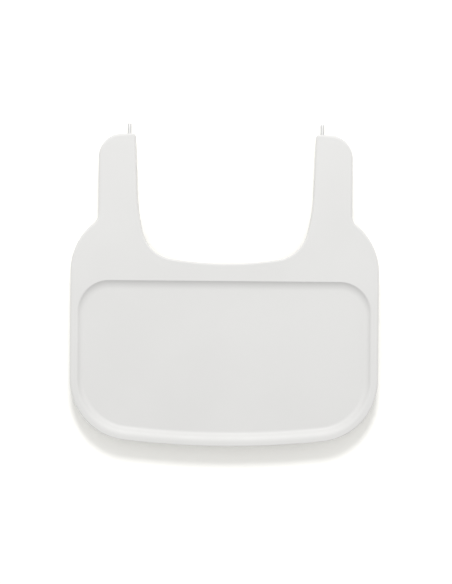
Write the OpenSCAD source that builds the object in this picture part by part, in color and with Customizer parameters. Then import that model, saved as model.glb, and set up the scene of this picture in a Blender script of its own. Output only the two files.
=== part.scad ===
// High-chair tray: a white moulded shell with a raised rim, a belly cut-out and two arms.
// Each arm holds a sprung steel lock pin, and two hooks underneath hold the chair's front rail.
// Frame: origin under the centre of the bounding box, +X right, +Y towards the child, +Z up.

/* [Shell] */
// Full width of the tray
tray_w = 450; // [400:1:500]
// Depth from the front edge to the ends of the arms
tray_d = 455; // [420:1:500]
// Height of the shell from its lower edge to the top of the rim
shell_h = 22; // [20:1:30]
// Thickness of the shell's wall
wall = 3; // [2:0.5:4]
// Radius of the rim's outer top edge
edge_r = 5; // [4:0.5:8]
// Radius of the front edge, seen from above
front_r = 1300; // [900:10:1800]
// Radius of the two front corners
corner_r = 90; // [60:1:110]
// Radius of the two shoulders
shoulder_r = 90; // [60:1:110]
// Depth from the front edge to the start of the shoulders
side_d = 254; // [220:1:280]
// Distance from the centre line to the arm's outer side
arm_x = 185.4; // [175:0.1:195]
// Radius of the hollow where the arm meets the shoulder
armpit_r = 16; // [10:1:30]
// Radius of the outer corner at the end of the arm
arm_end_r = 35; // [20:1:40]

/* [Recess] */
// Width of the rim along the front and the sides
rim_w = 10; // [8:0.5:14]
// Depth from the front edge to the back of the recess
recess_d = 241; // [200:1:245]
// Radius of the recess's two back corners
recess_r = 47; // [30:1:60]
// How far the floor lies under the rim
recess_h = 6; // [5:0.5:8]
// Radius between the recess's wall and its floor
bowl_r = 10; // [8:0.5:14]

/* [Belly cut-out] */
// Depth from the front edge to the bottom of the cut-out
belly_d = 266; // [255:1:280]
// Radius and end angle of the bottom curve
belly_r = 500; // [400:10:600]
belly_a = 9; // [6:0.5:12]
// Radius and end angle of the corner curve
bend_r = 52; // [45:1:60]
bend_a = 75; // [70:1:80]
// Radius and end angle of the curve along the arm
flank_r = 268; // [240:1:300]
flank_a = 88; // [86:0.5:90]
// Radius of the cut-out's top edge
lip_r = 3; // [2:0.5:5]

/* [Cover] */
// Thickness of the bottom cover
cover_t = 2.5; // [2:0.5:4]
// Gap between the cover and the shell's wall
cover_gap = 0.3; // [0.2:0.1:0.6]

/* [Lock] */
// Diameter of the lock pin's nose, the part that enters the chair
pin_d = 6; // [5:0.5:8]
// Diameter of the rest of the lock pin
shaft_d = 6.4; // [5.4:0.1:8.4]
// Length of the pin that stands out of the arm
pin_out = 16; // [12:1:20]
// Distance from the centre line to the pin
pin_x = 141.4; // [138:0.1:150]
// Height of the pin's axis above the surface that the tray stands on
pin_z = 27; // [26:0.5:28]
// Length of the pin
pin_len = 151; // [140:1:160]
// Travel of the pin and its trigger
travel = 16; // [12:1:18]

/* [Supports] */
// Height of the shell's lower edge above the surface that the tray stands on
base_z = 18; // [16:1:22]
// Diameter of the chair's front rail
rail_d = 12; // [10:1:16]
// Distance from the centre line to the middle of each rail hook
hook_x = 90; // [60:1:110]
// Depth from the front edge to the rail
hook_d = 236; // [225:1:245]
// Width of each rail hook
hook_w = 26; // [18:1:34]

/* [Hidden] */
$fn = 64;
front_y = -(tray_d + pin_out) / 2;
back_y = front_y + tray_d;
top_z = base_z + shell_h;
cover_z = base_z + cover_t;
floor_z = top_z - recess_h;
pin_r = pin_d / 2;
shaft_r = shaft_d / 2;
nose_len = pin_out - 1;
tip_r = 1.5;
running_gap = 0.05;
roll_pin_r = 1.25;
cover_hole_r = 1.7;
thread_r = 1.5;
head_r = 2.8;
head_h = 2;
head_gap = 0.3;
shell_white = [0.90, 0.90, 0.89];
moulding_grey = [0.80, 0.81, 0.82];
steel = [0.62, 0.63, 0.64];
soft_grey = [0.45, 0.46, 0.47];

// A point on an arc, at angle a from straight ahead of the arc's centre, that is from -Y.
function on_arc(centre, r, a) = centre + r * [sin(a), -cos(a)];

// Centres of the arcs, each tangent to the next.
front_c = [0, front_y + front_r];
front_a = asin((tray_w / 2 - corner_r) / (front_r - corner_r));
corner_c = on_arc(front_c, front_r - corner_r, front_a);
shoulder_c = [tray_w / 2 - shoulder_r, front_y + side_d];
shoulder_a = 180 - asin((arm_x + armpit_r - shoulder_c[0]) / (shoulder_r + armpit_r));
armpit_c = on_arc(shoulder_c, shoulder_r + armpit_r, shoulder_a);
arm_end_c = [arm_x - arm_end_r, back_y - arm_end_r];
recess_c = [tray_w / 2 - rim_w - recess_r, front_y + recess_d - recess_r];
belly_c = [0, front_y + belly_d + belly_r];
bend_c = on_arc(belly_c, belly_r - bend_r, belly_a);
flank_c = on_arc(bend_c, bend_r - flank_r, bend_a);

// Each curve lies out from its edge by the given amount, or in from it if that is negative.
// An open arc leaves out its last point, because the next arc starts there.
function arc(centre, r, from, to, steps) =
    [for (i = [0:steps]) on_arc(centre, r, from + (to - from) * i / steps)];
function open_arc(centre, r, from, to, steps) =
    [for (i = [0:steps - 1]) on_arc(centre, r, from + (to - from) * i / steps)];
function closed(half) =
    concat(half, [for (i = [len(half) - 1:-1:0]) if (half[i][0] > 0) [-half[i][0], half[i][1]]]);

function outline(out) = closed(concat(
    open_arc(front_c, front_r + out, 0, front_a, 6),
    arc(corner_c, corner_r + out, front_a, 90, 12),
    open_arc(shoulder_c, shoulder_r + out, 90, shoulder_a, 8),
    arc(armpit_c, armpit_r - out, shoulder_a - 180, -90, 5),
    arc(arm_end_c, arm_end_r + out, 90, 180, 9)));

function recess(out) = closed(concat(
    open_arc(front_c, front_r - rim_w + out, 0, front_a, 6),
    arc(corner_c, corner_r - rim_w + out, front_a, 90, 12),
    arc(recess_c, recess_r + out, 90, 180, 9)));

// The cut-out runs out past the ends of the arms.
function belly(out) =
    let (flank = arc(flank_c, flank_r + out, bend_a, flank_a, 3))
    let (past = back_y + 10 - flank[3][1])
    closed(concat(
        open_arc(belly_c, belly_r + out, 0, belly_a, 4),
        open_arc(bend_c, bend_r + out, belly_a, bend_a, 10),
        flank,
        [[flank[3][0] + past / tan(flank_a), back_y + 10]]));

// Heights of a round edge from its side to its top, as [distance in, height].
function round_over(r, steps) =
    [for (i = [0:steps]) [r * (1 - cos(90 * i / steps)), top_z - r + r * sin(90 * i / steps)]];

bowl_a = acos(1 - recess_h / bowl_r);
function bowl(r, to_a) = [for (i = [0:4])
    [r * sin(to_a * i / 4) - bowl_r * sin(bowl_a), floor_z + bowl_r - r * cos(to_a * i / 4)]];

// Places, each for the right-hand side.
cover_screw_spots = [
    [60, front_y + 36], [193, front_y + 110], [193, front_y + 205],
    [40, front_y + 253], [172, front_y + 345], [160, front_y + 437]];
hook_screw_spots = [
    [hook_x, front_y + hook_d - 14], [hook_x, front_y + hook_d + 14]];
block_y = front_y + 376;
block_len = 12;
block_top = pin_z + 6.5;
guide_screw_spots = [[156, block_y + block_len / 2], [165, block_y + block_len / 2]];
foot_spot = [150, front_y + 48];
foot_r = 10;
foot_round = 2;
foot_seat_z = 6;
hook_t = 2.9;
hook_base_t = 3;
hook_base_len = 40;
block_seat_z = cover_z + 4;
post_r = 4.2;
post_root_r = 4.8;
sleeve_t = 1.3;
rib_t = 1.6;

pin_start = back_y + pin_out - pin_len;
bush_len = 12;
bush_r = pin_r + 2;
flange_t = 1.5;
collar_y = back_y - bush_len - flange_t - 0.1;
collar_len = 6;
spring_r = pin_r + 1;
spring_wire = 0.8;
spring_turns = 9;
trigger_y = front_y + 312;
trigger_w = 16;
trigger_len = 22;
neck_len = 12;
tab_t = 5;
roll_pin_y = trigger_y + 15;

// ---- Helpers ----

module on_left() {
    mirror([1, 0, 0]) children();
}

module both_sides() {
    children();
    on_left() children();
}

module at_each(spots, z) {
    for (spot = spots) {
        both_sides() translate([spot[0], spot[1], z]) children();
    }
}

// A rod or tube drawn along +Y from the given start.
module along_y(x, y, z) {
    translate([x, y, z]) rotate([-90, 0, 0]) children();
}

// A solid through a stack of outlines that have the same number of points, lowest first.
module loft(outlines, heights) {
    n = len(outlines[0]);
    last = (len(outlines) - 1) * n;
    points = [for (k = [0:len(outlines) - 1]) for (p = outlines[k]) [p[0], p[1], heights[k]]];
    sides = [for (k = [0:n:last - n]) for (i = [0:n - 1])
        let (a = k + i, b = k + (i + 1) % n)
        for (face = [[a, a + n, b + n], [a, b + n, b]]) face];
    caps = [[for (i = [0:n - 1]) i], [for (i = [n - 1:-1:0]) last + i]];
    polyhedron(points, concat(caps, sides));
}

module outline_solid(profile) {
    loft([for (p = profile) outline(-p[0])], [for (p = profile) p[1]]);
}

module belly_solid(profile) {
    loft([for (p = profile) belly(p[0])], [for (p = profile) p[1]]);
}

module recess_solid(profile) {
    loft([for (p = profile) recess(p[0])], [for (p = profile) p[1]]);
}

module screw(shank_len) {
    rotate_extrude() {
        translate([0, -head_h]) square([head_r, head_h]);
        translate([0, -0.1]) square([thread_r, shank_len + 0.1]);
    }
}

// ---- Shell and cover ----

// A post for a screw, hanging from the shell and slightly thicker at its root.
module screw_post(height) {
    hull() {
        cylinder(h = 1, r = post_r, $fn = 16);
        translate([0, 0, height - 1]) cylinder(h = 1, r = post_root_r, $fn = 16);
    }
}

// The posts that the screws go into, and the sleeves that hold the guide bushes.
module shell_posts() {
    post_top = top_z - wall / 2;
    at_each(cover_screw_spots, cover_z) screw_post(post_top - cover_z);
    at_each(hook_screw_spots, cover_z) screw_post(post_top - cover_z);
    at_each([foot_spot], cover_z) screw_post(post_top - cover_z);
    at_each(guide_screw_spots, block_top) screw_post(post_top - block_top);
    both_sides() along_y(pin_x, back_y - bush_len, pin_z)
        cylinder(h = bush_len - 1, r = bush_r + sleeve_t, $fn = 32);
}

module shell_ribs() {
    rib_z = cover_z + 2;
    rib_h = floor_z - wall / 2 - rib_z;
    for (x = [-120, 0, 120]) {
        translate([x - rib_t / 2, front_y + 28, rib_z]) cube([rib_t, 190, rib_h]);
    }
    for (y = [80, 150]) {
        translate([-190, front_y + y, rib_z]) cube([380, rib_t, rib_h]);
    }
}

// The hollow inside the shell, open at the bottom where the cover goes.
module shell_hollow() {
    difference() {
        outline_solid(concat(
            [[wall, base_z - 1]], [for (p = round_over(edge_r, 4)) [max(p[0], wall), p[1] - wall]]));
        belly_solid([[wall, base_z - 2], [wall, top_z]]);
        recess_solid(concat(bowl(bowl_r + wall, 70), [[wall, top_z]]));
        shell_posts();
        shell_ribs();
    }
}

module screw_hole(z) {
    translate([0, 0, z]) cylinder(h = 7, r = thread_r, $fn = 16);
}

module top_shell() {
    color(shell_white) difference() {
        outline_solid(concat([[0, base_z]], round_over(edge_r, 4)));
        belly_solid(concat([[0, base_z - 1]], round_over(lip_r, 3), [[lip_r, top_z + 1]]));
        recess_solid(concat(bowl(bowl_r, bowl_a), [[0, top_z + 1]]));
        shell_hollow();
        at_each(cover_screw_spots, 0) screw_hole(cover_z);
        at_each(hook_screw_spots, 0) screw_hole(cover_z);
        at_each([foot_spot], 0) screw_hole(cover_z);
        at_each(guide_screw_spots, 0) screw_hole(block_top - 4);
        both_sides() along_y(pin_x, back_y - bush_len - 1, pin_z)
            cylinder(h = bush_len + 2, r = bush_r);
    }
}

module bottom_cover() {
    slot_w = trigger_w + 2;
    slot_y = trigger_y - travel - 0.5;
    slot_len = travel + neck_len + 1;
    color(shell_white) difference() {
        translate([0, 0, base_z]) linear_extrude(cover_t) polygon(outline(-wall - cover_gap));
        translate([0, 0, base_z - 1]) linear_extrude(cover_t + 2) polygon(belly(wall + cover_gap));
        at_each(cover_screw_spots, base_z - 1) cylinder(h = cover_t + 2, r = cover_hole_r);
        at_each(hook_screw_spots, base_z - 1) cylinder(h = cover_t + 2, r = cover_hole_r);
        at_each([foot_spot], base_z - 1) cylinder(h = cover_t + 2, r = cover_hole_r);
        both_sides() translate([pin_x - slot_w / 2, slot_y, base_z - 1])
            cube([slot_w, slot_len, cover_t + 2]);
    }
}

module cover_screws() {
    color(steel) at_each(cover_screw_spots, base_z) screw(9);
}

// ---- Supports ----

module rail_hook() {
    seat_z = rail_d / 2 + 3;
    seat_r = rail_d / 2 + 0.1;
    outer_r = seat_r + hook_t;
    y = front_y + hook_d;
    color(moulding_grey) difference() {
        translate([hook_x - hook_w / 2, y, 0]) rotate([90, 0, 90]) linear_extrude(hook_w) {
            difference() {
                union() {
                    translate([0, seat_z]) circle(outer_r);
                    translate([-hook_base_len / 2, base_z - hook_base_t])
                        square([hook_base_len, hook_base_t]);
                    translate([-outer_r, seat_z + 3]) square([2 * outer_r, base_z - seat_z - 3]);
                }
                translate([0, seat_z]) circle(seat_r);
                translate([-20, seat_z - seat_r * 0.9]) square([20, seat_r * 1.5]);
            }
        }
        for (spot = hook_screw_spots) {
            translate([spot[0], spot[1], base_z - 5]) cylinder(h = 8, r = cover_hole_r);
        }
    }
}

module hook_screws() {
    color(steel) at_each(hook_screw_spots, base_z - hook_base_t) screw(12);
}

module front_foot() {
    color(soft_grey) translate([foot_spot[0], foot_spot[1], 0]) rotate_extrude() {
        difference() {
            union() {
                square([foot_r - foot_round, foot_round]);
                translate([0, foot_round]) square([foot_r, base_z - foot_round]);
                translate([foot_r - foot_round, foot_round]) circle(foot_round);
            }
            translate([0, -1]) square([head_r + 0.4, foot_seat_z + 1]);
            translate([0, foot_seat_z - 1]) square([cover_hole_r, base_z]);
        }
    }
}

module foot_screws() {
    color(steel) at_each([foot_spot], foot_seat_z) screw(21);
}

// ---- Lock: one pin, collar, trigger, roll pin and spring for each arm ----

module guide_bush() {
    color(moulding_grey) along_y(pin_x, back_y - bush_len - flange_t, pin_z) difference() {
        union() {
            cylinder(h = bush_len + flange_t, r = bush_r);
            cylinder(h = flange_t, r = bush_r + 1.2);
        }
        translate([0, 0, -1]) cylinder(h = bush_len + flange_t + 2, r = shaft_r + running_gap);
    }
}

module guide_block() {
    color(moulding_grey) difference() {
        translate([pin_x - 6, block_y, cover_z + 0.5]) cube([34, block_len, block_top - cover_z - 0.5]);
        along_y(pin_x, block_y - 1, pin_z) cylinder(h = block_len + 2, r = shaft_r + running_gap);
        for (spot = guide_screw_spots) {
            translate([spot[0], spot[1], cover_z])
                cylinder(h = block_seat_z - cover_z, r = head_r + head_gap);
            translate([spot[0], spot[1], cover_z]) cylinder(h = 20, r = cover_hole_r);
        }
    }
}

module guide_screws() {
    color(steel) at_each(guide_screw_spots, block_seat_z) screw(12);
}

module lock_pin() {
    color(steel) difference() {
        along_y(pin_x, pin_start, pin_z) rotate_extrude() {
            square([shaft_r, pin_len - nose_len]);
            square([pin_r, pin_len - tip_r]);
            square([pin_r - tip_r, pin_len]);
            translate([pin_r - tip_r, pin_len - tip_r]) circle(tip_r);
        }
        translate([pin_x, roll_pin_y, pin_z - 10]) cylinder(h = 20, r = roll_pin_r);
    }
}

module pin_collar() {
    color(moulding_grey) along_y(pin_x, collar_y - collar_len, pin_z) difference() {
        cylinder(h = collar_len, r = bush_r + 0.4);
        translate([0, 0, -1]) cylinder(h = collar_len + 2, r = shaft_r);
    }
}

module trigger() {
    x = pin_x - trigger_w / 2;
    tab_z = base_z - 12;
    color(moulding_grey) difference() {
        union() {
            translate([x, trigger_y, cover_z + 0.5]) cube([trigger_w, trigger_len, 12]);
            translate([x, trigger_y, base_z - 1]) cube([trigger_w, neck_len, 6]);
            translate([x, trigger_y, tab_z]) cube([trigger_w, tab_t, 12]);
            translate([x, trigger_y + tab_t / 2, tab_z]) rotate([0, 90, 0])
                cylinder(h = trigger_w, r = tab_t / 2);
        }
        along_y(pin_x, pin_start, pin_z) cylinder(h = 40, r = shaft_r);
        translate([pin_x, roll_pin_y, pin_z - 10]) cylinder(h = 20, r = roll_pin_r);
    }
}

module roll_pin() {
    color(steel) translate([pin_x, roll_pin_y, pin_z - 5]) cylinder(h = 10.5, r = roll_pin_r);
}

// The wire's section is stretched along the coil, so that the twist leaves it round.
module lock_spring() {
    start = block_y + block_len + 0.1;
    length = collar_y - collar_len - 0.1 - start;
    pitch = length / spring_turns;
    spread = spring_wire / 2 / sin(atan(pitch / (2 * PI * spring_r))) / spring_r * 180 / PI;
    section = [for (i = [0:7])
        let (r = spring_r + spring_wire / 2 * sin(i * 45), a = spread * cos(i * 45))
        [r * cos(a), r * sin(a)]];
    color(steel) along_y(pin_x, start, pin_z)
        linear_extrude(length, twist = -360 * spring_turns, slices = spring_turns * 12, $fn = 8)
            polygon(section);
}

top_shell();
bottom_cover();
cover_screws();
on_left() rail_hook();  // left_rail_hook
rail_hook();  // right_rail_hook
hook_screws();
on_left() front_foot();  // left_front_foot
front_foot();  // right_front_foot
foot_screws();
on_left() guide_bush();  // left_guide_bush
guide_bush();  // right_guide_bush
on_left() guide_block();  // left_guide_block
guide_block();  // right_guide_block
guide_screws();
on_left() lock_pin();  // left_lock_pin
lock_pin();  // right_lock_pin
on_left() pin_collar();  // left_pin_collar
pin_collar();  // right_pin_collar
on_left() trigger();  // left_trigger
trigger();  // right_trigger
on_left() roll_pin();  // left_roll_pin
roll_pin();  // right_roll_pin
on_left() lock_spring();  // left_lock_spring
lock_spring();  // right_lock_spring
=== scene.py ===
"""A white high-chair tray: moulded shell, cover, hooks, feet and sprung lock pins.

Lengths are in millimetres until a mesh is built, which turns them into metres.
"""
import math

import bmesh
import bpy
from mathutils import Matrix, Vector


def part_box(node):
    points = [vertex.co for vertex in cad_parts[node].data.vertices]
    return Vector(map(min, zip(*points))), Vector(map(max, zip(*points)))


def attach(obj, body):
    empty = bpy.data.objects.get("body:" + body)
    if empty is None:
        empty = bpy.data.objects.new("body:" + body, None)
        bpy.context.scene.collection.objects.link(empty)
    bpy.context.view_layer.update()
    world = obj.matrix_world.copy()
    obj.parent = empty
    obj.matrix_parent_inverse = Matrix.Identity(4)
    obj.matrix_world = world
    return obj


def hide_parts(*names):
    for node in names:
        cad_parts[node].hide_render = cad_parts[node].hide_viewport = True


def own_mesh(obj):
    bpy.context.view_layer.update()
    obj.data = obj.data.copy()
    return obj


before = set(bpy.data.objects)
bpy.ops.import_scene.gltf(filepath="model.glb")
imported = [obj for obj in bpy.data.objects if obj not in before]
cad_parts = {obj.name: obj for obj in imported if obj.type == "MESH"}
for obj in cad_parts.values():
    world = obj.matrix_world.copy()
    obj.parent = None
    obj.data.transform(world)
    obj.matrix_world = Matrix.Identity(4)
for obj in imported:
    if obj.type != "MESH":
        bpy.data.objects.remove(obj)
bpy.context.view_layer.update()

MM = 0.001


def box_mm(node):
    low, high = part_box(node)
    return [v / MM for v in low], [v / MM for v in high]


# ---- Driving dimensions, taken from the frame where it has them ----

shell_low, shell_high = box_mm("top_shell")
HALF_W = shell_high[0]
FRONT_Y, BACK_Y = shell_low[1], shell_high[1]
BASE_Z, TOP_Z = shell_low[2], shell_high[2]
WALL = 3.0

FRONT_R, CORNER_R, SHOULDER_R, SIDE_D = 1300.0, 90.0, 90.0, 254.0
ARM_X, ARMPIT_R, ARM_END_R, ARM_TIP_R = 185.4, 16.0, 35.0, 3.2
RIM_W, RECESS_D, RECESS_R, RECESS_H = 10.0, 241.0, 47.0, 6.0
BELLY_D = 266.0
BELLY_ARCS = ((500.0, 9.0), (52.0, 75.0), (268.0, 88.0))  # radius and end angle of each arc
COVER_T, COVER_GAP = 2.5, 0.3
TRAVEL = 16.0
COVER_HOLE_R, SCREW_CORE_R = 1.7, 1.55
BUSH_R, SLEEVE_R, SHAFT_R, NOSE_R = 5.0, 6.3, 3.2, 3.0
BEVEL_ANGLE, SMOOTH_ANGLE = 35, 50

# Radius of the top edge: crisp along the front, softer on the sides, small around the cut-out.
EDGE_FRONT, EDGE_SIDE, EDGE_ARM, EDGE_BELLY = 1.3, 4.0, 4.0, 2.4


# ---- Outlines: arcs and lines, each point with its outward normal and the values it carries ----

# The most that an arc turns between points, in degrees, and the longest gap between points.
MAX_TURN, MAX_STEP = 3.0, 8.0


def on_arc(centre, r, angle):
    a = math.radians(angle)
    return Vector((centre[0] + r * math.sin(a), centre[1] - r * math.cos(a)))


def smooth(t):
    return t * t * (3 - 2 * t)


def blend_values(a, b, t):
    return tuple(x + (y - x) * smooth(t) for x, y in zip(a, b))


def arc(centre, r, start, end, first, last, hollow=False):
    """Points along an arc, its values running from first to last. A hollow arc's normals point inwards."""
    sweep = abs(end - start)
    steps = max(2, math.ceil(sweep / MAX_TURN), math.ceil(r * math.radians(sweep) / MAX_STEP))
    points = []
    for i in range(steps + 1):
        angle = start + (end - start) * i / steps
        normal = on_arc((0, 0), -1.0 if hollow else 1.0, angle)
        points.append((on_arc(centre, r, angle), normal, blend_values(first, last, i / steps)))
    return points


def line(start, end, first, last):
    start, end = Vector(start), Vector(end)
    along = (end - start).normalized()
    normal = Vector((along.y, -along.x))
    steps = max(1, math.ceil((end - start).length / MAX_STEP))
    points = []
    for i in range(steps + 1):
        points.append((start.lerp(end, i / steps), normal, blend_values(first, last, i / steps)))
    return points


def closed(segments):
    """Joins the right-hand segments, which run from X = 0 to X = 0, and mirrors them into a loop."""
    half = list(segments[0])
    for segment in segments[1:]:
        half.extend(segment[1:])
    other = []
    for p, n, v in reversed(half):
        if p.x > 1e-6:
            other.append((Vector((-p.x, p.y)), Vector((-n.x, n.y)), v))
    return half + other


front_c = Vector((0, FRONT_Y + FRONT_R))
front_a = math.degrees(math.asin((HALF_W - CORNER_R) / (FRONT_R - CORNER_R)))
corner_c = on_arc(front_c, FRONT_R - CORNER_R, front_a)
shoulder_c = Vector((HALF_W - SHOULDER_R, FRONT_Y + SIDE_D))
shoulder_a = 180 - math.degrees(math.asin((ARM_X + ARMPIT_R - shoulder_c.x) / (SHOULDER_R + ARMPIT_R)))
armpit_c = on_arc(shoulder_c, SHOULDER_R + ARMPIT_R, shoulder_a)
arm_end_c = Vector((ARM_X - ARM_END_R, BACK_Y - ARM_END_R))
recess_c = Vector((HALF_W - RIM_W - RECESS_R, FRONT_Y + RECESS_D - RECESS_R))

(belly_r, belly_a), (bend_r, bend_a), (flank_r, flank_a) = BELLY_ARCS
belly_c = Vector((0, FRONT_Y + BELLY_D + belly_r))
bend_c = on_arc(belly_c, belly_r - bend_r, belly_a)
flank_c = on_arc(bend_c, bend_r - flank_r, bend_a)
flank_end = on_arc(flank_c, flank_r, flank_a)


def tray_outline():
    """The whole outline, front to arm end to belly cut-out; the value is the top edge's radius."""
    front, side, arm, belly = (EDGE_FRONT,), (EDGE_SIDE,), (EDGE_ARM,), (EDGE_BELLY,)
    flank_dir = Vector((math.cos(math.radians(flank_a)), math.sin(math.radians(flank_a))))
    into_arm = Vector((flank_dir.y, -flank_dir.x))
    tip_y = BACK_Y - ARM_TIP_R
    tip_edge = flank_end + flank_dir * ((tip_y - ARM_TIP_R * into_arm.y - flank_end.y) / flank_dir.y)
    tip_c = tip_edge + into_arm * ARM_TIP_R
    return closed([
        arc(front_c, FRONT_R, 0, front_a, front, front),
        arc(corner_c, CORNER_R, front_a, 90, front, side),
        line((HALF_W, corner_c.y), (HALF_W, shoulder_c.y), side, side),
        arc(shoulder_c, SHOULDER_R, 90, shoulder_a, side, arm),
        arc(armpit_c, ARMPIT_R, shoulder_a - 180, -90, arm, arm, hollow=True),
        line((ARM_X, armpit_c.y), (ARM_X, arm_end_c.y), arm, arm),
        arc(arm_end_c, ARM_END_R, 90, 180, arm, arm),
        line((arm_end_c.x, BACK_Y), (tip_c.x, BACK_Y), arm, belly),
        arc(tip_c, ARM_TIP_R, 180, 180 + flank_a, belly, belly),
        line(tip_edge, flank_end, belly, belly),
        arc(flank_c, flank_r, flank_a, bend_a, belly, belly, hollow=True),
        arc(bend_c, bend_r, bend_a, belly_a, belly, belly, hollow=True),
        arc(belly_c, belly_r, belly_a, 0, belly, belly, hollow=True),
    ])


# The recess wall is an S: where it starts outside the recess edge, how wide its rounded top is, and
# how wide it is in all. The front is a broad soft bead, and the back has a crisp edge over a wide hollow.
WALL_FRONT, WALL_SIDE, WALL_BACK = (5.5, 11.3, 16.8), (0.8, 3.5, 11.5), (0.3, 0.8, 13.0)


def recess_outline():
    return closed([
        arc(front_c, FRONT_R - RIM_W, 0, front_a, WALL_FRONT, WALL_FRONT),
        arc(corner_c, CORNER_R - RIM_W, front_a, 90, WALL_FRONT, WALL_SIDE),
        line((HALF_W - RIM_W, corner_c.y), (HALF_W - RIM_W, recess_c.y), WALL_SIDE, WALL_SIDE),
        arc(recess_c, RECESS_R, 90, 180, WALL_SIDE, WALL_BACK),
        line((recess_c.x, FRONT_Y + RECESS_D), (0, FRONT_Y + RECESS_D), WALL_BACK, WALL_BACK),
    ])


def circle_outline(x, y, r, steps=32):
    points = []
    for i in range(steps):
        normal = on_arc((0, 0), 1.0, 360 * i / steps)
        points.append((Vector((x, y)) + r * normal, normal, ()))
    return points


def rounded_box_outline(low, high, r):
    """A rectangle with round corners, as a loop."""
    corners = [((high[0] - r, low[1] + r), 0), ((high[0] - r, high[1] - r), 90),
               ((low[0] + r, high[1] - r), 180), ((low[0] + r, low[1] + r), 270)]
    points = []
    for centre, start in corners:
        points.extend(arc(centre, r, start, start + 90, (), ()))
    return points


# ---- Mesh building ----


def ring(bm, outline, place):
    """One ring of vertices: place(values) gives how far out each point moves and its height."""
    verts = []
    for point, normal, values in outline:
        out, z = place(values)
        verts.append(bm.verts.new((*(point + normal * out), z)))
    return verts


def bridge(bm, lower, upper):
    n = len(lower)
    for i in range(n):
        bm.faces.new((lower[i], lower[(i + 1) % n], upper[(i + 1) % n], upper[i]))


def skin(bm, outline, places):
    """Rings through each place in turn, joined by quads; returns the first and last rings."""
    rings = [ring(bm, outline, place) for place in places]
    for lower, upper in zip(rings, rings[1:]):
        bridge(bm, lower, upper)
    return rings[0], rings[-1]


def loop_edges(bm, verts):
    edges = []
    for a, b in zip(verts, verts[1:] + verts[:1]):
        edges.append(bm.edges.get((a, b)) or bm.edges.new((a, b)))
    return edges


def fill(bm, *loops):
    edges = [edge for loop in loops for edge in loop_edges(bm, loop)]
    bmesh.ops.triangle_fill(bm, use_beauty=True, edges=edges)


def fixed(out, z):
    return lambda values: (out, z)


def new_object(name, bm, material, flat_angle=40):
    """Turns a millimetre bmesh into a metre object with its material."""
    bmesh.ops.remove_doubles(bm, verts=bm.verts, dist=1e-4)
    bmesh.ops.recalc_face_normals(bm, faces=bm.faces)
    bmesh.ops.scale(bm, vec=(MM, MM, MM), verts=bm.verts)
    mesh = bpy.data.meshes.new(name)
    bm.to_mesh(mesh)
    bm.free()
    mesh.shade_smooth()
    mesh.set_sharp_from_angle(angle=math.radians(flat_angle))
    mesh.materials.append(material)
    obj = bpy.data.objects.new(name, mesh)
    bpy.context.collection.objects.link(obj)
    return obj


def lathe(bm, profile, place=None, steps=40):
    """A closed solid of revolution about Z from (radius, height) pairs, moved by the given matrix."""
    rings = []
    for r, z in profile:
        if r < 1e-6:
            rings.append([bm.verts.new((0, 0, z))])
        else:
            turn = [2 * math.pi * i / steps for i in range(steps)]
            rings.append([bm.verts.new((r * math.cos(a), r * math.sin(a), z)) for a in turn])
    pairs = list(zip(rings, rings[1:]))
    if len(rings[0]) > 1 and len(rings[-1]) > 1:
        pairs.append((rings[-1], rings[0]))
    for lower, upper in pairs:
        for i in range(steps):
            j = (i + 1) % steps
            if len(lower) == 1:
                bm.faces.new((lower[0], upper[j], upper[i]))
            elif len(upper) == 1:
                bm.faces.new((lower[i], lower[j], upper[0]))
            else:
                bm.faces.new((lower[i], lower[j], upper[j], upper[i]))
    if place:
        bmesh.ops.transform(bm, matrix=place, verts=[v for r in rings for v in r])


def along_y(x, y, z):
    return Matrix.Translation((x, y, z)) @ Matrix.Rotation(-math.pi / 2, 4, "X")


def plate(bm, outline, holes, z0, z1, chamfer, panels=()):
    """A flat plate with holes, and shallow panels sunk into its lower face."""
    bottom, top = [], []
    for loop, side in [(outline, 1)] + [(hole, -1) for hole in holes]:
        low, high = skin(bm, loop, [
            fixed(-side * chamfer, z0), fixed(0, z0 + chamfer), fixed(0, z1 - chamfer),
            fixed(-side * chamfer, z1)])
        bottom.append(low)
        top.append(high)
    for panel, depth in panels:
        low, high = skin(bm, panel, [
            fixed(0.4, z0), fixed(0.1, z0 + 0.12), fixed(0, z0 + 0.4), fixed(0, z0 + depth - 0.3),
            fixed(-0.3, z0 + depth)])
        bottom.append(low)
        fill(bm, high)
    fill(bm, *bottom)
    fill(bm, *top)


def carve(bm, cutter):
    """Cuts one closed mesh out of another; both are consumed, and the result is a new mesh."""
    pair = []
    for name, part in (("body", bm), ("cutter", cutter)):
        bmesh.ops.remove_doubles(part, verts=part.verts, dist=1e-4)
        bmesh.ops.recalc_face_normals(part, faces=part.faces)
        obj = bpy.data.objects.new(name, bpy.data.meshes.new(name))
        part.to_mesh(obj.data)
        part.free()
        bpy.context.collection.objects.link(obj)
        pair.append(obj)
    cut = pair[0].modifiers.new("cut", "BOOLEAN")
    cut.object = pair[1]
    cut.operation = "DIFFERENCE"
    cut.solver = "EXACT"
    bpy.context.view_layer.update()
    mesh = bpy.data.meshes.new_from_object(pair[0].evaluated_get(bpy.context.evaluated_depsgraph_get()))
    for obj in pair:
        bpy.data.objects.remove(obj)
    result = bmesh.new()
    result.from_mesh(mesh)
    bpy.data.meshes.remove(mesh)
    return result


def soften(obj, width, segments=3):
    """Rounds the sharp edges of a finished object by the given width in millimetres."""
    bevel = obj.modifiers.new("soften", "BEVEL")
    bevel.width = width * MM
    bevel.segments = segments
    bevel.limit_method = "ANGLE"
    bevel.angle_limit = math.radians(BEVEL_ANGLE)
    bevel.harden_normals = False
    bpy.context.view_layer.update()
    done = bpy.data.meshes.new_from_object(obj.evaluated_get(bpy.context.evaluated_depsgraph_get()))
    obj.modifiers.clear()
    obj.data = done
    done.shade_smooth()
    done.set_sharp_from_angle(angle=math.radians(SMOOTH_ANGLE))


# ---- Materials ----


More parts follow.
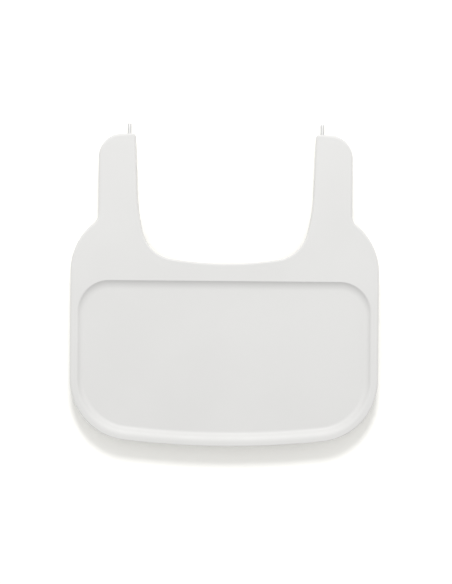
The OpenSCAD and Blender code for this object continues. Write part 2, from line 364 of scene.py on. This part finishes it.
def new_material(name):
    material = bpy.data.materials.new(name)
    material.use_nodes = True
    tree = material.node_tree
    return material, tree, tree.nodes["Principled BSDF"]


def add_noise(tree, scale, detail, roughness=0.5):
    where = tree.nodes.new("ShaderNodeTexCoord")
    noise = tree.nodes.new("ShaderNodeTexNoise")
    noise.inputs["Scale"].default_value = scale
    noise.inputs["Detail"].default_value = detail
    noise.inputs["Roughness"].default_value = roughness
    tree.links.new(where.outputs["Object"], noise.inputs["Vector"])
    return noise


def map_range(tree, source, low, high):
    node = tree.nodes.new("ShaderNodeMapRange")
    node.inputs["From Min"].default_value = 0.3
    node.inputs["From Max"].default_value = 0.7
    node.inputs["To Min"].default_value = low
    node.inputs["To Max"].default_value = high
    tree.links.new(source, node.inputs["Value"])
    return node.outputs["Result"]


def add_bump(tree, shader, source, strength, distance):
    bump = tree.nodes.new("ShaderNodeBump")
    bump.inputs["Strength"].default_value = strength
    bump.inputs["Distance"].default_value = distance
    tree.links.new(source, bump.inputs["Height"])
    tree.links.new(bump.outputs["Normal"], shader.inputs["Normal"])


def vary_colour(tree, shader, source, dark, light):
    ramp = tree.nodes.new("ShaderNodeValToRGB")
    ramp.color_ramp.elements[0].position = 0.35
    ramp.color_ramp.elements[1].position = 0.65
    ramp.color_ramp.elements[0].color = (*dark, 1)
    ramp.color_ramp.elements[1].color = (*light, 1)
    tree.links.new(source, ramp.inputs["Fac"])
    tree.links.new(ramp.outputs["Color"], shader.inputs["Base Color"])


def plastic(name, dark, light, gloss, grain):
    """Moulded plastic: faint shade drift, a fine spark-eroded grain, and uneven gloss from wiping."""
    material, tree, shader = new_material(name)
    drift = add_noise(tree, 9.0, 3.0)
    vary_colour(tree, shader, drift.outputs["Fac"], dark, light)
    wipes = add_noise(tree, 60.0, 6.0, 0.6)
    shader_rough = map_range(tree, wipes.outputs["Fac"], gloss - 0.04, gloss + 0.05)
    tree.links.new(shader_rough, shader.inputs["Roughness"])
    fine = add_noise(tree, 2600.0, 2.0)
    add_bump(tree, shader, fine.outputs["Fac"], grain, 0.00004)
    shader.inputs["IOR"].default_value = 1.5
    return material


def metal(name, dark, light, gloss, stretch):
    """Ground or plated metal, with fine marks longest along the axis whose stretch is smallest."""
    material, tree, shader = new_material(name)
    shader.inputs["Metallic"].default_value = 1.0
    marks = add_noise(tree, 900.0, 4.0)
    scale = tree.nodes.new("ShaderNodeMapping")
    scale.inputs["Scale"].default_value = stretch
    where = marks.inputs["Vector"].links[0].from_socket
    tree.links.new(where, scale.inputs["Vector"])
    tree.links.new(scale.outputs["Vector"], marks.inputs["Vector"])
    tint = add_noise(tree, 120.0, 3.0)
    vary_colour(tree, shader, tint.outputs["Fac"], dark, light)
    rough = map_range(tree, marks.outputs["Fac"], gloss - 0.05, gloss + 0.08)
    tree.links.new(rough, shader.inputs["Roughness"])
    add_bump(tree, shader, marks.outputs["Fac"], 0.15, 0.00003)
    return material


def rubber(name, dark, light):
    material, tree, shader = new_material(name)
    dust = add_noise(tree, 180.0, 6.0, 0.65)
    vary_colour(tree, shader, dust.outputs["Fac"], dark, light)
    rough = map_range(tree, dust.outputs["Fac"], 0.62, 0.8)
    tree.links.new(rough, shader.inputs["Roughness"])
    fine = add_noise(tree, 3200.0, 2.0)
    add_bump(tree, shader, fine.outputs["Fac"], 0.35, 0.00008)
    return material


shell_white = plastic("shell_white", (0.662, 0.659, 0.648), (0.676, 0.673, 0.662), 0.50, 0.10)
hook_nylon = plastic("hook_nylon", (0.56, 0.57, 0.58), (0.60, 0.61, 0.62), 0.46, 0.25)
trigger_nylon = plastic("trigger_nylon", (0.42, 0.44, 0.46), (0.46, 0.48, 0.50), 0.48, 0.30)
bush_pom = plastic("bush_pom", (0.68, 0.68, 0.66), (0.72, 0.72, 0.70), 0.33, 0.05)
foot_rubber = rubber("foot_rubber", (0.13, 0.135, 0.14), (0.17, 0.175, 0.18))
pin_steel = metal("pin_steel", (0.67, 0.67, 0.665), (0.72, 0.72, 0.715), 0.60, (1.0, 0.05, 1.0))
spring_steel = metal("spring_steel", (0.50, 0.51, 0.52), (0.60, 0.61, 0.62), 0.30, (1.0, 1.0, 0.2))
screw_zinc = metal("screw_zinc", (0.58, 0.59, 0.60), (0.68, 0.69, 0.70), 0.34, (0.3, 0.3, 1.0))


# ---- Shell ----


# How far the flat top reaches past each rounding before the next fill starts.
EDGE_MARGIN = 0.35


def top_edge():
    """Places from the shell's side over its round top edge to the flat top."""
    places = []
    for i in range(9):
        a = math.radians(90 * i / 8)
        places.append(lambda v, a=a: (-v[0] * (1 - math.cos(a)), TOP_Z - v[0] * (1 - math.sin(a))))
    places.append(lambda v: (-v[0] - EDGE_MARGIN, TOP_Z))
    return places


def recess_wall_radii(values):
    """The steepest slope of the wall, and the radii of its rounded top and of its hollow."""
    _, rounded, width = values
    slope = 2 * math.atan(RECESS_H / width)
    total = width / math.sin(slope)
    top_r = rounded / math.sin(slope)
    return slope, top_r, total - top_r


def recess_wall():
    """Places down the recess's wall: a rounded top, then a hollow that runs out onto the floor."""
    places = [lambda v: (v[0] + EDGE_MARGIN, TOP_Z)]
    for i in range(7):
        def rounded_top(v, share=i / 6):
            slope, top_r, _ = recess_wall_radii(v)
            a = slope * share
            return v[0] - top_r * math.sin(a), TOP_Z - top_r * (1 - math.cos(a))
        places.append(rounded_top)
    for i in range(1, 10):
        def hollow(v, share=1 - i / 9):
            slope, _, low_r = recess_wall_radii(v)
            a = slope * share
            return v[0] - v[2] + low_r * math.sin(a), TOP_Z - RECESS_H + low_r * (1 - math.cos(a))
        places.append(hollow)
    places.append(lambda v: (v[0] - v[2] - 0.5, TOP_Z - RECESS_H))
    return places


def recess_underside():
    """The same wall seen from inside the shell, a wall's thickness away."""
    places = [lambda v: (v[0] + 1.6, TOP_Z - WALL)]
    for share in (1.0, 0.66, 0.33, 0.0):
        def hollow(v, share=share):
            low_r = recess_wall_radii(v)[2]
            steepest = math.acos((low_r - RECESS_H / 2) / (low_r + WALL))
            a = steepest * share
            out = v[0] - v[2] + (low_r + WALL) * math.sin(a)
            return min(out, v[0] + 1.4), TOP_Z - RECESS_H + low_r - (low_r + WALL) * math.cos(a)
        places.append(hollow)
    return places


COVER_SCREWS = [(60, 36), (193, 110), (193, 205), (40, 253), (172, 345), (160, 437)]
HOOK_X, HOOK_D = 90.0, 236.0
HOOK_SCREWS = [(HOOK_X, HOOK_D - 14), (HOOK_X, HOOK_D + 14)]
FOOT_SPOT = (150, 48)
GUIDE_SCREWS = [(156, 382), (165, 382)]
# Ribs under the floor: their thickness, how far they run, and the places of both sets.
PANEL_DEPTH = 0.8
RIB_T, RIB_END_X, RIB_START_D, RIB_END_D = 1.6, 190, 28, 218
LONG_RIB_XS, CROSS_RIB_DS = (-120, 0, 120), (80, 150)
# How far posts and ribs reach into the skin above, so that they are one with it.
ROOT = 0.3


def both_sides(spots):
    """Each (x, depth from the front edge) as an (x, y) place on the left and on the right."""
    return [(side * x, FRONT_Y + d) for x, d in spots for side in (-1, 1)]


def build_shell():
    bm = bmesh.new()
    outline, recess = tray_outline(), recess_outline()
    outside = [
        fixed(-WALL, BASE_Z + COVER_T), fixed(-WALL, BASE_Z + 0.4), fixed(-WALL + 0.4, BASE_Z),
        fixed(-0.6, BASE_Z), fixed(-0.15, BASE_Z + 0.2), fixed(0, BASE_Z + 0.7)]
    start, top = skin(bm, outline, outside + top_edge())
    rim, floor = skin(bm, recess, recess_wall())
    fill(bm, top, rim)
    fill(bm, floor)
    inside = [
        fixed(-WALL, BASE_Z + COVER_T), fixed(-WALL, TOP_Z - 8.5),
        fixed(-WALL - 0.6, TOP_Z - 5.2), fixed(-WALL - 2.2, TOP_Z - WALL)]
    _, ceiling = skin(bm, outline, inside)
    rim, floor = skin(bm, recess, recess_underside())
    fill(bm, ceiling, rim)
    fill(bm, floor)
    low, high = box_mm("right_guide_bush")
    axis_x, axis_z = (low[0] + high[0]) / 2, (low[2] + high[2]) / 2
    bores = bmesh.new()
    bore_r, bore_len = BUSH_R + 0.03, WALL + 3
    for side in (-1, 1):
        lathe(bores, [(0, 0), (bore_r, 0), (bore_r, bore_len), (0, bore_len)],
              along_y(side * axis_x, BACK_Y - WALL - 1.5, axis_z))
    bm = carve(bm, bores)
    under_floor, under_top = TOP_Z - RECESS_H - WALL + ROOT, TOP_Z - WALL + ROOT
    for x, y in both_sides(COVER_SCREWS + HOOK_SCREWS + [FOOT_SPOT]):
        top_z = under_floor if y < FRONT_Y + RECESS_D - 12 else under_top
        add_post(bm, x, y, BASE_Z + COVER_T, top_z)
    for x, y in both_sides(GUIDE_SCREWS):
        add_post(bm, x, y, box_mm("right_guide_block")[1][2], under_top)
    for x in LONG_RIB_XS:
        add_rib(bm, (x - RIB_T / 2, FRONT_Y + RIB_START_D), (x + RIB_T / 2, FRONT_Y + RIB_END_D))
    for d in CROSS_RIB_DS:
        add_rib(bm, (-RIB_END_X, FRONT_Y + d), (RIB_END_X, FRONT_Y + d + RIB_T))
    inner_r, near, far = BUSH_R + 0.02, 1.5, high[1] - low[1] - 1
    sleeve = [(inner_r, near), (SLEEVE_R, near), (SLEEVE_R, far), (inner_r, far)]
    for side in (-1, 1):
        lathe(bm, sleeve, along_y(side * axis_x, low[1], axis_z))
    return new_object("shell", bm, shell_white)


def add_post(bm, x, y, z0, z1):
    """A screw post that hangs from the shell, slightly thicker at its root."""
    tip_r, post_r, root_r = 3.9, 4.2, 4.8
    profile = [(SCREW_CORE_R, z0), (tip_r, z0), (post_r, z0 + 0.3), (root_r, z1), (SCREW_CORE_R, z1)]
    lathe(bm, profile, Matrix.Translation((x, y, 0)), steps=24)


def add_rib(bm, low, high):
    """A rib under the recess's floor, with a slightly thinner lower edge."""
    z0, z1 = BASE_Z + COVER_T + 2, TOP_Z - RECESS_H - WALL + ROOT
    places = [fixed(-0.2, z0), fixed(0, z0 + 0.4), fixed(0, z1)]
    start, end = skin(bm, rounded_box_outline(low, high, 0.5), places)
    bm.faces.new(start)
    bm.faces.new(end)


def cover_panel(xs, ds, r):
    """One sunk panel of the cover, as its outline and depth; ds are depths from the front edge."""
    outline = rounded_box_outline((xs[0], FRONT_Y + ds[0]), (xs[1], FRONT_Y + ds[1]), r)
    return outline, PANEL_DEPTH


def build_cover():
    bm = bmesh.new()
    out = -WALL - COVER_GAP
    outline = [(p + n * out, n, v) for p, n, v in tray_outline()]
    spots = both_sides(COVER_SCREWS + HOOK_SCREWS + [FOOT_SPOT])
    holes = [circle_outline(x, y, COVER_HOLE_R, 20) for x, y in spots]
    trigger_low, trigger_high = box_mm("right_trigger")
    slot_y0, slot_y1 = trigger_low[1] - TRAVEL - 0.5, trigger_low[1] + 12.5
    slot_half_w, slot_r = 9, 2.5
    for side in (-1, 1):
        x = side * (trigger_low[0] + trigger_high[0]) / 2
        holes.append(rounded_box_outline((x - slot_half_w, slot_y0), (x + slot_half_w, slot_y1), slot_r))
    panels = []
    for x0, x1 in ((-172, -76), (-60, 60), (76, 172)):
        panels.append(cover_panel((x0, x1), (70, 200), 12))
    for side in (-1, 1):
        panels.append(cover_panel(sorted((side * 146, side * 168)), (360, 420), 7))
    plate(bm, outline, holes, BASE_Z, BASE_Z + COVER_T, 0.35, panels)
    return new_object("cover", bm, shell_white)


# ---- Screws ----

THREAD_DEPTH, THREAD_PITCH = 0.3, 1.0
# Half the width and half the length of the driver recess's arms, and how far it narrows inwards.
CROSS_W, CROSS_LEN, CROSS_TAPER = 0.42, 1.75, 0.5


def screw_mesh(length, head_r=2.8, head_h=2.0, shank_r=1.5):
    """A pan-head screw with a cross recess, head down, its seat at Z = 0."""
    bm = bmesh.new()
    profile = [(0, -head_h), (head_r * 0.55, -head_h * 0.98), (head_r * 0.85, -head_h * 0.8),
               (head_r * 0.97, -head_h * 0.5), (head_r, -0.25), (head_r * 0.96, 0), (shank_r, 0)]
    root_r = shank_r - THREAD_DEPTH
    z = 0.8
    while z < length - 2.2:
        profile += [(root_r, z), (shank_r, z + 0.35), (shank_r, z + 0.45), (root_r, z + 0.8)]
        z += THREAD_PITCH
    profile += [(shank_r * 0.7, length - 1.2), (0, length)]
    lathe(bm, profile, steps=28)
    cross = bmesh.new()
    w, reach = CROSS_W, CROSS_LEN
    outline = [(w, w), (w, reach), (-w, reach), (-w, w), (-reach, w), (-reach, -w),
               (-w, -w), (-w, -reach), (w, -reach), (w, -w), (reach, -w), (reach, w)]
    low = [cross.verts.new((x, y, -head_h - 1)) for x, y in outline]
    high = [cross.verts.new((x * CROSS_TAPER, y * CROSS_TAPER, -0.6)) for x, y in outline]
    bridge(cross, low, high)
    cross.faces.new(low)
    cross.faces.new(high)
    return carve(bm, cross)


def build_screws(name, node, spots, z, length):
    one = bpy.data.meshes.new("one")
    screw = screw_mesh(length)
    screw.to_mesh(one)
    screw.free()
    bm = bmesh.new()
    for i, (x, y) in enumerate(spots):
        copy = one.copy()
        copy.transform(Matrix.Translation((x, y, z)) @ Matrix.Rotation(0.7 * i, 4, "Z"))
        bm.from_mesh(copy)
        bpy.data.meshes.remove(copy)
    bpy.data.meshes.remove(one)
    screws = new_object(name, bm, screw_zinc)
    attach(screws, "tray")
    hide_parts(node)


# ---- Supports ----


def extruded(bm, outline, x0, x1):
    """A closed solid from a (y, z) outline drawn along X."""
    near = [bm.verts.new((x0, y, z)) for y, z in outline]
    far = [bm.verts.new((x1, y, z)) for y, z in outline]
    bridge(bm, near, far)
    bm.faces.new(near)
    bm.faces.new(far)


def arc_yz(y, z, r, start, end, steps=24):
    """Points on an arc in the (y, z) plane; 0 degrees points along +Y."""
    points = []
    for i in range(steps + 1):
        a = math.radians(start + (end - start) * i / steps)
        points.append((y + r * math.cos(a), z + r * math.sin(a)))
    return points


def build_hook():
    """A J-shaped hook: a flat base, a neck and a round seat open towards the front."""
    low, high = box_mm("right_rail_hook")
    y = FRONT_Y + HOOK_D
    seat_r, out_r = 6.1, 9.0
    seat_z = low[2] + out_r
    top = high[2]
    outline = [(y - 20, top), (y - 20, top - 3), (y - 9, top - 3), (y - 9, seat_z + 3.8)]
    outline += arc_yz(y, seat_z, seat_r, 143, -115, 40)
    outline += [(y - 6.6, seat_z - 5.4)]
    outline += arc_yz(y, seat_z, out_r, 222, 360, 26)
    outline += [(y + out_r, top - 3), (y + 20, top - 3), (y + 20, top)]
    bm = bmesh.new()
    extruded(bm, outline, low[0], high[0])
    hook = new_object("right_hook", bm, hook_nylon)
    soften(hook, 0.6)
    return hook


def build_foot():
    low, high = box_mm("right_front_foot")
    x, y = FOOT_SPOT[0], FRONT_Y + FOOT_SPOT[1]
    h = high[2] - low[2]
    hole_r, seat_z, round_r = 1.75, 6.0, 2
    profile = [(hole_r, seat_z), (3.15, seat_z), (3.2, 0.3), (3.5, 0.0)]
    profile += [(4.6, 0.0), (4.9, 0.5), (5.3, 0.5), (5.6, 0.0), (7.6, 0.0)]
    for a in (0.25, 0.6, 0.95, 1.3, math.pi / 2):
        profile.append((8 + round_r * math.sin(a), round_r - round_r * math.cos(a)))
    profile += [(9.85, h * 0.5), (9.7, h - 1.6), (9.2, h - 1.3), (9.2, h - 0.9)]
    profile += [(9.9, h - 0.5), (9.9, h), (hole_r, h)]
    bm = bmesh.new()
    lathe(bm, profile, Matrix.Translation((x, y, low[2])), steps=56)
    return new_object("right_foot", bm, foot_rubber)


# ---- Lock ----

# Height of the guide screws' seats in the guide blocks.
GUIDE_SEAT_Z = BASE_Z + COVER_T + 4


def lock_axis():
    low, high = box_mm("right_lock_pin")
    return (low[0] + high[0]) / 2, low[1], high[1], (low[2] + high[2]) / 2


def build_pin():
    x, y0, y1, z = lock_axis()
    length, nose, tip = y1 - y0, 15.0, 1.6
    profile = [(0, 0), (SHAFT_R - 0.4, 0), (SHAFT_R, 0.4), (SHAFT_R, length / 2)]
    profile += [(SHAFT_R, length - nose - 0.15), (NOSE_R, length - nose), (NOSE_R, length - tip)]
    for a in (0.3, 0.6, 0.9, 1.2):
        profile.append((NOSE_R - tip * (1 - math.cos(a)), length - tip + tip * math.sin(a)))
    profile += [(NOSE_R - tip, length), (0, length)]
    bm = bmesh.new()
    lathe(bm, profile, along_y(x, y0, z), steps=48)
    return new_object("right_pin", bm, pin_steel)


def build_collar():
    low, high = box_mm("right_pin_collar")
    x, _, _, z = lock_axis()
    length, r = high[1] - low[1], (high[0] - low[0]) / 2
    inner_r, groove_r = SHAFT_R + 0.02, r - 0.5
    profile = [(inner_r, 0.3), (3.5, 0), (groove_r, 0), (r, 0.5)]
    profile += [(r, length * 0.4), (groove_r, length * 0.45), (groove_r, length * 0.55), (r, length * 0.6)]
    profile += [(r, length - 0.5), (groove_r, length), (3.5, length), (inner_r, length - 0.3)]
    bm = bmesh.new()
    lathe(bm, profile, along_y(x, low[1], z))
    return new_object("right_collar", bm, bush_pom)


def build_bush():
    low, high = box_mm("right_guide_bush")
    x, _, _, z = lock_axis()
    length, flange_r = high[1] - low[1], (high[0] - low[0]) / 2
    inner_r, outer_r, flange_t = SHAFT_R + 0.05, BUSH_R - 0.02, 1.5
    profile = [(inner_r, 0.4), (3.6, 0), (flange_r - 0.3, 0), (flange_r, 0.3), (flange_r, flange_t)]
    profile += [(outer_r, flange_t), (outer_r, length - 0.4), (4.6, length), (3.65, length)]
    profile.append((inner_r, length - 0.4))
    bm = bmesh.new()
    lathe(bm, profile, along_y(x, low[1], z), steps=48)
    return new_object("right_bush", bm, bush_pom)


def build_block():
    low, high = box_mm("right_guide_block")
    x, _, _, z = lock_axis()
    bm = bmesh.new()
    outline = rounded_box_outline((low[0], low[2]), (high[0], high[2]), 1.0)
    plate(bm, outline, [circle_outline(x, z, SHAFT_R + 0.05, 40)], 0, high[1] - low[1], 0.4)
    turn = Matrix.Translation((0, high[1], 0)) @ Matrix.Rotation(math.pi / 2, 4, "X")
    bmesh.ops.transform(bm, matrix=turn, verts=bm.verts)
    sinks = bmesh.new()
    seat, start, end = GUIDE_SEAT_Z, GUIDE_SEAT_Z - 5, high[2] + 1
    sink_r, hole_r = 3.1, 1.6
    sink = [(0, start), (sink_r, start), (sink_r, seat), (hole_r, seat), (hole_r, end), (0, end)]
    for x, d in GUIDE_SCREWS:
        lathe(sinks, sink, Matrix.Translation((x, FRONT_Y + d, 0)), steps=32)
    bm = carve(bm, sinks)
    return new_object("right_block", bm, bush_pom)


def build_trigger():
    """A slider on the pin whose tab reaches down through the cover, with ridges for a finger."""
    low, high = box_mm("right_trigger")
    y, z0, z1 = low[1], low[2], high[2]
    outline = [(y, z1), (y, z0 + 2.5)]
    outline += arc_yz(y + 2.5, z0 + 2.5, 2.5, 180, 360, 12)
    outline += [(y + 4.2, z0 + 5), (y + 3.9, z0 + 8), (y + 4.1, z0 + 10.5)]
    body_z, end_y = BASE_Z + 3, high[1]
    outline += [(y + 5, z0 + 13), (y + 12, z0 + 13.6), (y + 12, body_z), (end_y, body_z), (end_y, z1)]
    bm = bmesh.new()
    extruded(bm, outline, low[0], high[0])
    trigger = new_object("right_trigger_grip", bm, trigger_nylon)
    soften(trigger, 0.8, segments=4)
    ridges = bmesh.new()
    ridges.from_mesh(trigger.data)
    bar = [(0, 0), (0.35, 0), (0.45, 0.3), (0.45, 11.7), (0.35, 12), (0, 12)]
    for i in range(4):
        place = Matrix.Translation((low[0] + 2, y + 4.25, z0 + 3.6 + 1.9 * i))
        rod = bmesh.new()
        lathe(rod, bar, place @ Matrix.Rotation(math.pi / 2, 4, "Y"), steps=14)
        bmesh.ops.scale(rod, vec=(MM, MM, MM), verts=rod.verts)
        piece = bpy.data.meshes.new("ridge")
        rod.to_mesh(piece)
        rod.free()
        ridges.from_mesh(piece)
        bpy.data.meshes.remove(piece)
    bmesh.ops.recalc_face_normals(ridges, faces=ridges.faces)
    ridges.to_mesh(trigger.data)
    ridges.free()
    trigger.data.shade_smooth()
    trigger.data.set_sharp_from_angle(angle=math.radians(SMOOTH_ANGLE))
    return trigger


def build_roll_pin():
    low, high = box_mm("right_roll_pin")
    x, y = (low[0] + high[0]) / 2, (low[1] + high[1]) / 2
    r = (high[0] - low[0]) / 2
    bore_r, end_r = 0.7, r - 0.25
    profile = [(bore_r, low[2]), (end_r, low[2]), (r, low[2] + 0.5)]
    profile += [(r, high[2] - 0.5), (end_r, high[2]), (bore_r, high[2])]
    bm = bmesh.new()
    lathe(bm, profile, Matrix.Translation((x, y, 0)), steps=24)
    return new_object("right_cross_pin", bm, pin_steel)


def build_spring():
    """A compression spring with closed ends, swept round the pin."""
    low, high = box_mm("right_lock_spring")
    x, _, _, z = lock_axis()
    wire, coil_r, turns, around = 0.4, 4.0, 11, 10
    flat_rise = 0.9
    length = high[1] - low[1] - 2 * wire
    steps = turns * 28
    bm = bmesh.new()
    rings = []
    for i in range(steps + 1):
        t = i / steps
        turn = t * turns
        # The first and last turns lie nearly flat, and the rest share the length evenly.
        lead = min(turn, 1) * flat_rise + min(max(turns - turn, 0), 1) * -flat_rise + flat_rise
        share = min(max((turn - 1) / (turns - 2), 0), 1)
        y = low[1] + wire + lead + (length - 2 * flat_rise) * share
        a = 2 * math.pi * turn
        out = Vector((math.cos(a), 0, math.sin(a)))
        centre = Vector((x, y, z)) + out * coil_r
        ring_verts = []
        for k in range(around):
            b = 2 * math.pi * k / around
            offset = out * wire * math.cos(b) + Vector((0, wire * math.sin(b), 0))
            ring_verts.append(bm.verts.new(centre + offset))
        rings.append(ring_verts)
    for lower, upper in zip(rings, rings[1:]):
        bridge(bm, lower, upper)
    bm.faces.new(rings[0])
    bm.faces.new(rings[-1])
    return new_object("right_spring", bm, spring_steel)


# ---- Assembly ----


def place_pair(right, node, body):
    """Keeps the right-hand piece and adds its mirror copy, each for its own CAD node and body."""
    left = mirrored_piece(right, right.name.replace("right", "left"))
    for obj, side in ((right, "right"), (left, "left")):
        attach(obj, body.format(side))
        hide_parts(f"{side}_{node}")
    return left


def mirrored_piece(obj, name):
    mesh = obj.data.copy()
    mesh.name = name
    mesh.transform(Matrix.Scale(-1, 4, (1, 0, 0)))
    mesh.flip_normals()
    copy = bpy.data.objects.new(name, mesh)
    bpy.context.collection.objects.link(copy)
    return copy


shell = build_shell()
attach(shell, "tray")
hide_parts("top_shell")
cover = build_cover()
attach(cover, "tray")
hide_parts("bottom_cover")

build_screws("cover_fixings", "cover_screws", both_sides(COVER_SCREWS), BASE_Z, 9)
build_screws("hook_fixings", "hook_screws", both_sides(HOOK_SCREWS), BASE_Z - 3, 12)
build_screws("foot_fixings", "foot_screws", both_sides([FOOT_SPOT]), 6, 21)
build_screws("guide_fixings", "guide_screws", both_sides(GUIDE_SCREWS), GUIDE_SEAT_Z, 12)

place_pair(build_hook(), "rail_hook", "tray")
place_pair(build_foot(), "front_foot", "tray")
place_pair(build_bush(), "guide_bush", "tray")
place_pair(build_block(), "guide_block", "tray")
place_pair(build_pin(), "lock_pin", "{}_lock")
place_pair(build_collar(), "pin_collar", "{}_lock")
place_pair(build_trigger(), "trigger", "{}_lock")
place_pair(build_roll_pin(), "roll_pin", "{}_lock")

right_spring = build_spring()
left_spring = place_pair(right_spring, "lock_spring", "tray")
for spring, side in ((right_spring, "right"), (left_spring, "left")):
    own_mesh(spring)


# ---- Floor, light and camera ----

# The ambient light is stronger from the back by AMBIENT_LEAN; the softbox casts the shadow in front.
AMBIENT, AMBIENT_LEAN, KEY_POWER, FLOOR_GLOW = 0.79, 0.16, 40.0, 0.08
FLOOR_SIZE, FLOOR_Z = 4.0, -0.0003
SOFTBOX_PLACE, SOFTBOX_SIZE = (0, 1.78, 2.4), 0.62
CAMERA_DISTANCE, CAMERA_LENS, CAMERA_X, CAMERA_Y, CAMERA_TURN = 1.8, 76.2, 0.0021, -0.0106, 0.5


def build_floor():
    mesh = bpy.data.meshes.new("floor")
    size, z = FLOOR_SIZE, FLOOR_Z
    corners = [(-size, -size, z), (size, -size, z), (size, size, z), (-size, size, z)]
    mesh.from_pydata(corners, [], [(0, 1, 2, 3)])
    floor = bpy.data.objects.new("floor", mesh)
    bpy.context.collection.objects.link(floor)
    material, _, shader = new_material("floor_white")
    shader.inputs["Base Color"].default_value = (0.975, 0.97, 0.94, 1)
    shader.inputs["Emission Color"].default_value = (1.0, 0.99, 0.95, 1)
    shader.inputs["Emission Strength"].default_value = FLOOR_GLOW
    shader.inputs["Roughness"].default_value = 0.9
    shader.inputs["Specular IOR Level"].default_value = 0.0
    mesh.materials.append(material)


def add_area(name, place, aim, size, power):
    light = bpy.data.lights.new(name, "AREA")
    light.shape = "DISK"
    light.size = size
    light.energy = power
    obj = bpy.data.objects.new(name, light)
    obj.location = place
    obj.rotation_euler = (Vector(aim) - Vector(place)).to_track_quat("-Z", "Y").to_euler()
    bpy.context.collection.objects.link(obj)


def build_light():
    world = bpy.data.worlds.new("studio")
    world.use_nodes = True
    tree = world.node_tree
    where = tree.nodes.new("ShaderNodeTexCoord")
    split = tree.nodes.new("ShaderNodeSeparateXYZ")
    strength = tree.nodes.new("ShaderNodeMath")
    strength.operation = "MULTIPLY_ADD"
    strength.inputs[1].default_value = AMBIENT * AMBIENT_LEAN
    strength.inputs[2].default_value = AMBIENT
    tree.links.new(where.outputs["Generated"], split.inputs["Vector"])
    tree.links.new(split.outputs["Y"], strength.inputs[0])
    tree.links.new(strength.outputs["Value"], tree.nodes["Background"].inputs["Strength"])
    tree.nodes["Background"].inputs["Color"].default_value = (1.0, 1.0, 1.0, 1)
    bpy.context.scene.world = world
    add_area("back_softbox", SOFTBOX_PLACE, (0, 0, 0), SOFTBOX_SIZE, KEY_POWER)


def build_camera():
    """Straight above, from far enough that little of the sides shows, and turned very slightly."""
    camera = bpy.data.cameras.new("camera")
    camera.sensor_width = 36
    camera.lens = CAMERA_LENS
    camera.clip_end = 20
    obj = bpy.data.objects.new("camera", camera)
    obj.location = (CAMERA_X, CAMERA_Y, TOP_Z * MM + CAMERA_DISTANCE)
    obj.rotation_euler = (0, 0, math.radians(CAMERA_TURN))
    bpy.context.collection.objects.link(obj)
    bpy.context.scene.camera = obj


build_floor()
build_light()
build_camera()
bpy.context.scene.view_settings.view_transform = "Standard"
bpy.context.scene.view_settings.look = "None"
